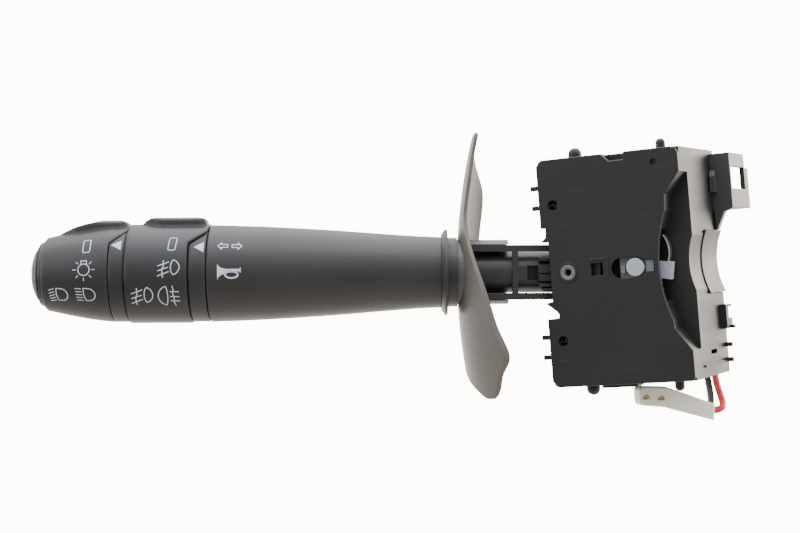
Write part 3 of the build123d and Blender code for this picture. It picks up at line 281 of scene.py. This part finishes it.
# %% Moulded grain
box_cells = 2600.0
stalk_cells = 3600.0
sharp_corner = 0.0002
grain, entry, leave = new_group(
    "moulded grain",
    {"Cells per metre": box_cells, "Strength": 0.3, "Corner radius": sharp_corner},
    {"Normal": "NodeSocketVector"},
)
place = new_node(grain, "ShaderNodeTexCoord")
cells = new_node(
    grain,
    "ShaderNodeTexNoise",
    {"Vector": place.outputs["Object"], "Scale": entry.outputs["Cells per metre"]},
    detail=3.0,
)
corners = new_node(grain, "ShaderNodeBevel", {"Radius": entry.outputs["Corner radius"]}, samples=8)
pits = new_node(
    grain,
    "ShaderNodeBump",
    {
        "Height": cells.outputs["Fac"],
        "Strength": entry.outputs["Strength"],
        "Normal": corners.outputs["Normal"],
    },
    distance=0.00006,
)
grain.links.new(pits.outputs["Normal"], leave.inputs["Normal"])

# %% Clouding and scuffs
handling, entry, leave = new_group(
    "clouding and scuffs",
    {"Cells per metre": 420.0},
    {"Cloud": "NodeSocketFloat", "Scuffs": "NodeSocketFloat"},
)
place = new_node(handling, "ShaderNodeTexCoord")
everywhere = {"Vector": place.outputs["Object"]}
long_way = new_node(handling, "ShaderNodeMapping", everywhere, scale=(0.35, 0.6, 1.6))
streaks = new_node(
    handling,
    "ShaderNodeTexNoise",
    {"Vector": long_way.outputs["Vector"], "Scale": entry.outputs["Cells per metre"]},
    detail=9.0,
)
patches = new_node(handling, "ShaderNodeTexNoise", everywhere, scale=60.0, detail=4.0)
strongest = {"Value": streaks.outputs["Fac"]}
few = new_node(handling, "ShaderNodeMapRange", strongest, from_min=0.66, from_max=0.8)
handling.links.new(patches.outputs["Fac"], leave.inputs["Cloud"])
handling.links.new(few.outputs["Result"], leave.inputs["Scuffs"])
print("groups", [g.name for g in bpy.data.node_groups])

# %% [markdown]
# A moulded plastic is one shader. Its colour and roughness wander a little with the clouding, its scuffs are
# paler and rougher, and its normal comes from the grain. Only a few values differ from one plastic to the
# next, so one function makes them all.


# %% Moulded plastic
colour_a, colour_b, colour_out = 6, 7, 2  # sockets of a Mix node that mixes colours
darker = 0.85
lighter = 1.15
scuff_gain = 1.4
scuff_lift = 0.05
scuff_roughness = 0.25


def shade(colour, factor):
    """The colour made lighter or darker by a factor, with an alpha of one."""
    return (*[factor * channel for channel in colour], 1)


def moulded(
    name,
    colour,
    roughness,
    grain_cells=box_cells,
    grain_strength=0.25,
    scuffed=0.2,
    corner=sharp_corner,
    waxy=0.0,
    gloss=0.5,
):
    """Plastic of a colour and roughness, with its grain and corner radius, scuffed from 0 to 1. Waxy lets
    light into it, and gloss is how much it mirrors, 0.5 for most plastics."""
    material = bpy.data.materials.new(name)
    material.use_nodes = True
    tree = material.node_tree
    shader = tree.nodes["Principled BSDF"]
    shader.inputs["Specular IOR Level"].default_value = gloss
    marks = new_node(tree, "ShaderNodeGroup", node_tree=handling)
    normal = new_node(tree, "ShaderNodeGroup", node_tree=grain)
    normal.inputs["Cells per metre"].default_value = grain_cells
    normal.inputs["Strength"].default_value = grain_strength
    normal.inputs["Corner radius"].default_value = corner
    shades = new_node(tree, "ShaderNodeMix", {"Factor": marks.outputs["Cloud"]}, data_type="RGBA")
    shades.inputs[colour_a].default_value = shade(colour, darker)
    shades.inputs[colour_b].default_value = shade(colour, lighter)
    scuffs = new_node(tree, "ShaderNodeMath", {0: marks.outputs["Scuffs"]}, operation="MULTIPLY")
    scuffs.inputs[1].default_value = scuffed
    worn = new_node(
        tree,
        "ShaderNodeMix",
        {"Factor": scuffs.outputs[0], colour_a: shades.outputs[colour_out]},
        data_type="RGBA",
    )
    paler = [min(1.0, scuff_gain * channel + scuff_lift) for channel in colour]
    worn.inputs[colour_b].default_value = (*paler, 1)
    rough = new_node(
        tree,
        "ShaderNodeMapRange",
        {"Value": marks.outputs["Cloud"]},
        from_min=0.3,
        from_max=0.7,
        to_min=roughness - 0.05,
        to_max=roughness + 0.06,
    )
    rougher = new_node(
        tree, "ShaderNodeMath", {0: scuffs.outputs[0], 2: rough.outputs[0]}, operation="MULTIPLY_ADD"
    )
    rougher.inputs[1].default_value = scuff_roughness
    tree.links.new(worn.outputs[colour_out], shader.inputs["Base Color"])
    tree.links.new(rougher.outputs[0], shader.inputs["Roughness"])
    tree.links.new(normal.outputs["Normal"], shader.inputs["Normal"])
    if waxy:
        shader.inputs["Subsurface Weight"].default_value = waxy
        shader.inputs["Subsurface Radius"].default_value = (0.0012, 0.001, 0.0008)
    return material


# %% [markdown]
# Bare metal shows only inside: at the pivot, the pull pin and the contacts. Drawn and stamped metal has fine
# lines, so its roughness follows a noise stretched along one way.


# %% Bare metal
def bare_metal(name, colour, roughness):
    """Metal of a colour, with fine lines along its drawing direction."""
    material = bpy.data.materials.new(name)
    material.use_nodes = True
    tree = material.node_tree
    shader = tree.nodes["Principled BSDF"]
    shader.inputs["Metallic"].default_value = 1.0
    place = new_node(tree, "ShaderNodeTexCoord")
    stretched = {"Vector": place.outputs["Object"]}
    long_way = new_node(tree, "ShaderNodeMapping", stretched, scale=(0.15, 1.0, 1.0))
    drawn = {"Vector": long_way.outputs["Vector"]}
    lines = new_node(tree, "ShaderNodeTexNoise", drawn, scale=5200.0, detail=4.0)
    rough = new_node(
        tree,
        "ShaderNodeMapRange",
        {"Value": lines.outputs["Fac"]},
        to_min=roughness - 0.08,
        to_max=roughness + 0.12,
    )
    tint = new_node(tree, "ShaderNodeMix", {"Factor": lines.outputs["Fac"]}, data_type="RGBA")
    tint.inputs[colour_a].default_value = shade(colour, darker)
    tint.inputs[colour_b].default_value = (*colour, 1)
    normal = new_node(tree, "ShaderNodeGroup", node_tree=grain)
    tree.links.new(tint.outputs[colour_out], shader.inputs["Base Color"])
    tree.links.new(rough.outputs[0], shader.inputs["Roughness"])
    tree.links.new(normal.outputs["Normal"], shader.inputs["Normal"])
    return material


# %% [markdown]
# Each slot of the record gets its finish, and every node takes the finish of its slot. The box is coarser
# grained than the stalk that hands touch. The cowl shield is painted the palest of the black mouldings: its
# pale greyish brown is a painted reflection of the white surroundings. The neck and the socket's shroud come
# from other moulds, so their black is a little different.

# %% Finishes by slot
hand_smooth = {"grain_cells": stalk_cells, "grain_strength": 0.15, "scuffed": 0.1}
sleeving = {"grain_strength": 0.0, "scuffed": 0.0, "gloss": 0.2}
clean = {"grain_strength": 0.1, "scuffed": 0.0, "waxy": 0.2}
finishes = {
    "housing_black": moulded("box plastic", (0.009, 0.009, 0.0095), 0.46, grain_strength=0.35, scuffed=0.3),
    "stalk_black": moulded("stalk plastic", (0.034, 0.033, 0.034), 0.4, **hand_smooth),
    # painted reflection: the shield's black is lifted to a pale greyish brown that stands for the white
    # surroundings it mirrors
    "shield_black": moulded("shield plastic paled for painted reflection", (0.15, 0.135, 0.118), 0.38, grain_strength=0.12),
    "knob_black": moulded("knob plastic", (0.029, 0.029, 0.031), 0.38, corner=0.0014, **hand_smooth),
    "natural_nylon": moulded("natural nylon", (0.42, 0.47, 0.55), 0.45, grain_strength=0.1, waxy=0.3),
    "plug_ivory": moulded("plug plastic", (1.0, 0.97, 0.82), 0.42, **clean),
    "grey_plastic": moulded("slider plastic", (0.16, 0.165, 0.175), 0.45, grain_strength=0.2),
    "board_green": moulded("board lacquer", (0.02, 0.10, 0.05), 0.3, grain_strength=0.1),
    "contact_brass": bare_metal("stamped brass", (0.72, 0.53, 0.22), 0.32),
    "steel": bare_metal("drawn steel", (0.6, 0.6, 0.6), 0.3),
    "lead_black": moulded("black lead sleeve", (0.016, 0.014, 0.012), 0.42, **sleeving),
    "lead_red": moulded("red lead sleeve", (0.62, 0.02, 0.03), 0.42, **sleeving),
}
own_finishes = {
    "neck_tube": moulded("neck plastic", (0.1, 0.102, 0.11), 0.34, **hand_smooth),
    "connector_shroud": moulded("shroud plastic", (0.045, 0.043, 0.043), 0.46, grain_strength=0.35),
}
for subpart in frame["record"]["subparts"]:
    node = subpart["node"]
    nodes[node].data.materials.clear()
    nodes[node].data.materials.append(own_finishes.get(node, finishes[subpart["material_slot"]]))
print("finishes", len(finishes), "on", len(nodes), "nodes")

# %% [markdown]
# The signs are printed on round knobs. A picture laid over the knob would blur close up, so each sign is a
# thin mesh of its own. It is drawn flat, in millimetres, with x to the column and y up, and then rolled onto
# the knob: x runs along the stalk, and y becomes a turn about its axis. The radius at each station is read
# from the solid that carries the sign, so a sign follows the taper too.

# %% Stalk frame
rake = radians(23.58)
tilt = radians(4.58)
out = np.array([-cos(rake) * cos(tilt), -sin(rake), cos(rake) * sin(tilt)])
up = np.array([sin(tilt), 0.0, cos(tilt)])
driver = np.cross(up, out)
print("out", out.round(4), "driver", driver.round(4))


# %% Flat shapes
line_width = 0.24
sharpest = 0.3  # one plus the cosine of the sharpest turn that keeps the full width


def stroke(points, width=line_width, closed=False):
    """Grid of two rows along a line through points, one half width to each side. A corner keeps the full
    width: each point moves along the mean of its two runs' normals, divided by the cosine of half the turn.
    """
    line = np.array(points, float)
    ahead = np.roll(line, -1, 0) - line
    if not closed:
        ahead[-1] = ahead[-2]
    ahead /= np.linalg.norm(ahead, axis=1)[:, None]
    behind = np.roll(ahead, 1, 0)
    if not closed:
        behind[0] = ahead[0]
    normal = np.stack([-ahead[:, 1] - behind[:, 1], ahead[:, 0] + behind[:, 0]], -1)
    spread = np.maximum((normal**2).sum(1) / 2, sharpest)
    half = normal / spread[:, None] * (width / 2)
    rows = np.stack([line + half, line - half])
    return np.concatenate([rows, rows[:, :1]], 1) if closed else rows


def solid(low, high, rows=8):
    """Grid filled between two lines of as many points, by rows that share the way from low to high."""
    share = np.linspace(0, 1, rows)[:, None, None]
    return np.array(low, float) * (1 - share) + np.array(high, float) * share


def arc(centre, width, height, start, end, count=24):
    """Points of an ellipse's arc between two angles in degrees."""
    turn = np.radians(np.linspace(start, end, count))
    return np.stack([centre[0] + width * np.cos(turn), centre[1] + height * np.sin(turn)], -1)


# %% Rolled onto the stalk
proud = 0.02
facing_share = 0.8  # cosine of the widest angle from the driver's side that still counts as facing it
steepest = 50
slope_count = 401


def skin_radius(node, along):
    """Radius of a node's skin at stations along the stalk. For every slope, the line that touches the points
    from outside is worked out, and the lowest of these lines at a station is the skin there."""
    mesh = nodes[node].data
    points = np.empty(3 * len(mesh.vertices))
    mesh.vertices.foreach_get("co", points)
    points = points.reshape(-1, 3) / mm
    station = points @ out
    radius = np.linalg.norm(points - station[:, None] * out, axis=1)
    facing = points @ driver > facing_share * radius
    slopes = np.tan(np.radians(np.linspace(-steepest, steepest, slope_count)))
    height = (radius[facing, None] - station[facing, None] * slopes).max(0)
    return (height + along[..., None] * slopes).min(-1)


def fine(grid, step=0.35):
    """The grid with points added along its rows, so that a long stroke bends with the knob."""
    runs = np.linalg.norm(np.diff(grid.mean(0), axis=0), axis=1)
    at = np.concatenate([[0], np.cumsum(runs)])
    wanted = np.unique(np.concatenate([at, np.arange(0, at[-1], step)]))
    rows = [np.stack([np.interp(wanted, at, row[:, k]) for k in (0, 1)], -1) for row in grid]
    return np.stack(rows)


def printed(name, body, carrier, groups, material):
    """Mesh of signs on the node carrier. Each group is a station, an angle up from the driver's side in
    degrees, and flat grids about that point."""
    points, faces = [], []
    for station, angle, grids in groups:
        for grid in map(fine, grids):
            along = station - grid[..., 0]
            radius = skin_radius(carrier, along) + proud
            turn = radians(angle) + grid[..., 1] / radius.mean()
            spot = along[..., None] * out + radius[..., None] * (
                np.cos(turn)[..., None] * driver + np.sin(turn)[..., None] * up
            )
            rows, columns = grid.shape[:2]
            index = np.arange(rows * columns).reshape(rows, columns) + sum(map(len, points))
            corners = [index[:-1, :-1], index[1:, :-1], index[1:, 1:], index[:-1, 1:]]
            faces += np.stack(corners, -1).reshape(-1, 4).tolist()
            points.append(spot.reshape(-1, 3) * mm)
    mesh = bpy.data.meshes.new(name)
    mesh.from_pydata(np.concatenate(points).tolist(), [], faces)
    mesh.materials.append(material)
    mesh.shade_smooth()
    piece = bpy.data.objects.new(name, mesh)
    bpy.context.scene.collection.objects.link(piece)
    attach(piece, body)
    print(name, len(faces), "faces")
    return piece


# %% [markdown]
# Pad printing leaves a thin bluish white ink. It is a little uneven, and rougher than the plastic. It needs
# no shader of its own, because a plastic of that colour looks the same.

# %% Sign ink
ink = moulded("sign ink", (0.74, 0.81, 0.92), 0.5, grain_strength=0.1, scuffed=0.1)
print("ink", ink.name)

# %% [markdown]
# The light knob shows off, side lights, dipped and main beam. A lamp is a D with its beams as lines, which
# slant down for the dipped beam. The box of the off sign is a superellipse: a circle whose cosine and sine
# are raised to a small power, which pushes its sides out and leaves its corners round.

# %% Signs of the light knob
turn = np.linspace(0, 2 * pi, 40, endpoint=False)
boxiness = 0.3
half_box = (0.95, 2.0)
box = np.stack([np.cos(turn), np.sin(turn)], -1)
box = np.sign(box) * np.abs(box) ** boxiness * half_box
off_sign = [stroke(box, closed=True)]

sun = [stroke(arc((0, 0), 1.5, 1.5, 0, 345), closed=True)]
for angle in np.radians([-135, -90, -45, 0, 45, 135, 180]):
    ray = np.array([cos(angle), sin(angle)])
    sun.append(stroke([2.05 * ray, 2.95 * ray], 0.2))
sun.append(stroke([(-0.75, 1.45), (-0.75, 2.35), (0.75, 2.35), (0.75, 1.45)]))


def lamp(foot):
    """Lamp whose flat side ends at foot below: a half circle to the right, closed by a bent line."""
    bulge = arc((-0.2, 0), 1.77, 1.75, 90, -90)
    return [stroke(np.concatenate([[(-1.5, 1.75)], bulge, [foot, (-1.5, 0)]]), closed=True)]


beam_width = 0.22
beam_top = 1.55
beam_step = 0.83
dipped_beam, main_beam = [], []
for row in range(5):
    x = 0.1 * row
    y = beam_top - beam_step * row
    dipped_beam.append(stroke([(-2.1 + x, y), (-3.65 + x, y - 0.65)], beam_width))
    main_beam.append(stroke([(-2.1 + x, y), (-3.8 + x, y)], beam_width))
printed(
    "light_signs",
    "light_knob",
    "light_knob",
    [
        (130.3, 37.9, off_sign),
        (130.75, 6.6, sun),
        (136.9, -28.0, lamp((-1.1, -1.8)) + dipped_beam),
        (129.5, -24.8, lamp((-0.95, -1.75)) + main_beam),
    ],
    ink,
)

# %% [markdown]
# The fog ring shows off, front fog lights, and front and rear fog lights together. A fog lamp is a lens
# with pointed ends, and its beams are crossed by a wave, for the fog. Both sides of the lens are the same
# formula: a cosine that swells out from the line between the two ends.


# %% Signs of the fog ring
pointed = 1.3


def lens(side, other_side, peak, foot):
    """Lens with its ends at peak and foot, which swells out to x at side and at other_side. The cosine is
    raised to a power above one, which makes the ends pointed."""
    swell = np.linspace(-pi / 2, pi / 2, 15)
    share = (1 + np.sin(swell)) / 2
    spine = np.outer(1 - share, peak) + np.outer(share, foot)
    middle = (peak[0] + foot[0]) / 2
    halves = [spine + np.outer(np.cos(swell) ** pointed * (x - middle), (1, 0)) for x in (side, other_side)]
    return [stroke(np.concatenate([halves[0], halves[1][-2:0:-1]]), closed=True)]


front_lines = [
    ((0.1, 1.5), (-2.85, 0.45)),
    ((-0.15, 0.1), (-2.85, -0.8)),
    ((0.1, -1.0), (-2.9, -2.15)),
    ((-1.4, 1.95), (-1.35, 1.0), (-1.3, 0.4), (-1.55, -0.1), (-1.75, -0.6), (-1.65, -1.5), (-1.55, -2.6)),
]
front_fog = lens(2.75, 0.5, (1.2, 2.0), (1.15, -1.8)) + [stroke(line) for line in front_lines]
tall_front_fog = [grid * (1, 1.1) for grid in front_fog]
rear_lines = [
    ((0.3, 1.2), (2.7, 1.15)),
    ((0.35, -0.2), (2.75, -0.25)),
    ((0.45, -1.45), (2.85, -1.55)),
    (
        (1.0, 2.75), (1.2, 1.9), (1.15, 1.2), (1.05, 0.6),
        (1.3, -0.1), (1.4, -0.8), (1.3, -1.9), (1.75, -3.0),
    ),
]
rear_fog = lens(-0.25, -2.7, (-0.75, 2.6), (-0.7, -2.8)) + [stroke(line) for line in rear_lines]
printed(
    "fog_signs",
    "fog_ring",
    "fog_ring",
    [
        (107.9, 37.5, [grid @ [[1, 0], [0.1, 1]] for grid in off_sign]),
        (108.6, 8.0, front_fog),
        (115.6, -24.2, tall_front_fog),
        (108.76, -24.6, rear_fog),
    ],
    ink,
)

# %% [markdown]
# The sleeve shows what moving the stalk does, two arrows for the indicators, and what pressing its end does,
# a horn. The arrows are outlines and the horn is solid, with an open ring for its tube.

# %% Signs of the sleeve
outline = [(-1.3, 0), (-0.35, 1.0), (-0.35, 0.45), (1.2, 0.45), (1.2, -0.45), (-0.35, -0.45), (-0.35, -1.0)]
left_arrow = [stroke(outline, closed=True)]
right_arrow = [grid * (-1, 1) for grid in left_arrow]
horn = [
    solid([(-3.1, -1.9), (-2.9, -1.9)], [(-3.1, 1.95), (-2.9, 1.95)]),
    solid([(-2.9, -1.5), (-2.0, -0.75), (-0.9, -0.45)], [(-2.9, 1.6), (-2.0, 1.0), (-0.9, 0.75)]),
    solid([(-0.9, 0.1), (2.7, 0.1)], [(-0.9, 0.75), (2.7, 0.75)]),
    solid([(2.7, -0.2), (3.05, -0.2)], [(2.7, 1.1), (3.05, 1.1)]),
    stroke(arc((0.6, -0.75), 1.65, 0.85, 0, 345), 0.42, closed=True),
]
printed(
    "stalk_signs",
    "lever",
    "stalk_sleeve",
    [(94.8, 35.0, left_arrow), (91.2, 35.0, right_arrow), (93.0, 3.0, horn)],
    ink,
)

# %% [markdown]
# A white triangle on each fixed band points at the sign that is set. It is printed like the signs, but it
# rides the stalk, so it stays where it is when a knob turns.

# %% Pointers
pointer = [solid([(-1.3, 0), (1.25, -1.55)], [(-1.3, 0), (1.25, 1.55)])]
printed("light_pointer", "lever", "light_band", [(122.55, 37.0, pointer)], ink)
printed("fog_pointer", "lever", "fog_band", [(101.05, 33.8, pointer)], ink)

# %% [markdown]
# Two small rings finish the turning parts. An eyelet keeps the pivot bush in the cover, and a bead runs
# round the shoulder of the horn button. Each is a surface of revolution: a short profile of radius and
# height is carried round an axis. A Screw modifier could turn the profile too, but the points are one
# formula of the turn and the place on the profile, so no modifier is needed.


# %% Rings
turn_points = 97


def ring(name, body, centre, axis, side, profile, material):
    """Surface of revolution, closed round the axis and along its profile. The profile's radius goes along
    side by the cosine of the turn, and square to it by the sine, and its height goes along axis."""
    turn = np.linspace(0, 2 * pi, turn_points)[:, None, None]
    profile = np.array([*profile, profile[0]], float)
    radius, height = profile[None, :, 0, None], profile[None, :, 1, None]
    spoke = np.cos(turn) * side + np.sin(turn) * np.cross(axis, side)
    points = centre + height * axis + radius * spoke
    piece = sheet(name, points * mm)
    tidy = bmesh.new()
    tidy.from_mesh(piece.data)
    bmesh.ops.remove_doubles(tidy, verts=tidy.verts, dist=1e-7)
    bmesh.ops.recalc_face_normals(tidy, faces=tidy.faces)
    tidy.to_mesh(piece.data)
    tidy.free()
    piece.data.shade_smooth()
    piece.data.materials.append(material)
    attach(piece, body)
    print(name, len(piece.data.polygons), "faces")
    return piece


bush_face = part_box("pivot_bush")[0][1] / mm
ring(
    "bush_eyelet",
    "indicator_carrier",
    np.array([0.0, bush_face, 0.0]),
    np.array([0.0, -1.0, 0.0]),
    np.array([1.0, 0.0, 0.0]),
    [
        (1.0, -0.25), (1.15, 0.1), (1.35, 0.2), (1.85, 0.2),
        (2.05, 0.1), (2.15, -0.1), (1.6, -0.1), (1.55, -0.25),
    ],
    finishes["grey_plastic"],
)
shoulder = 143.9
bead_r = 0.24
shoulder_radius = float(skin_radius("horn_cap", np.array(shoulder)))
ring(
    "cap_bead",
    "horn_button",
    shoulder * out,
    out,
    up,
    [(shoulder_radius + bead_r * cos(t), bead_r * sin(t)) for t in np.radians(range(0, 360, 30))],
    finishes["knob_black"],
)

# %% [markdown]
# Two thin leads leave the back of the box and hang to a plug under it. Such a lead is limp: it leaves its
# grommet straight and falls in one easy curve. A NURBS spline of order three is drawn along by the route's
# points, and it bends more evenly than one that has to pass through them. Its bevel gives the sleeve its
# thickness.

# %% Leads
lead_diameter = 1.8
lead_routes = {
    "red_lead": [
        (27.8, 16.6, -18.3), (27.7, 20.0, -18.4), (27.3, 23.4, -20.2), (27.0, 25.4, -23.5),
        (27.1, 25.4, -27.4), (27.8, 23.2, -30.9), (29.0, 19.7, -33.9), (30.5, 16.2, -36.3),
        (31.7, 12.6, -38.2), (31.6, 9.6, -39.1), (29.75, 8.0, -39.1),
    ],
    "black_lead": [
        (25.8, 16.6, -18.3), (25.8, 20.0, -18.4), (25.4, 23.4, -20.2), (25.0, 25.5, -23.5),
        (25.1, 25.6, -27.4), (25.6, 23.6, -31.0), (26.7, 20.3, -34.1), (27.7, 16.5, -36.6),
        (28.3, 12.7, -38.2), (28.15, 9.55, -38.6),
    ],
}
lead_nodes = {"red_lead": "lead_red", "black_lead": "lead_black"}
for name, route in lead_routes.items():
    curve = bpy.data.curves.new(name, "CURVE")
    curve.dimensions = "3D"
    curve.bevel_depth = lead_diameter / 2 * mm
    curve.bevel_resolution = 5
    curve.use_fill_caps = True
    spline = curve.splines.new("NURBS")
    spline.points.add(len(route) - 1)
    spline.points.foreach_set("co", np.c_[np.array(route) * mm, np.ones(len(route))].ravel())
    spline.order_u = 3
    spline.use_endpoint_u = True
    spline.resolution_u = 12
    lead = bpy.data.objects.new(name, curve)
    bpy.context.scene.collection.objects.link(lead)
    node = lead_nodes[name]
    curve.materials.append(finishes[node])
    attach(lead, "housing")
    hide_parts(node)
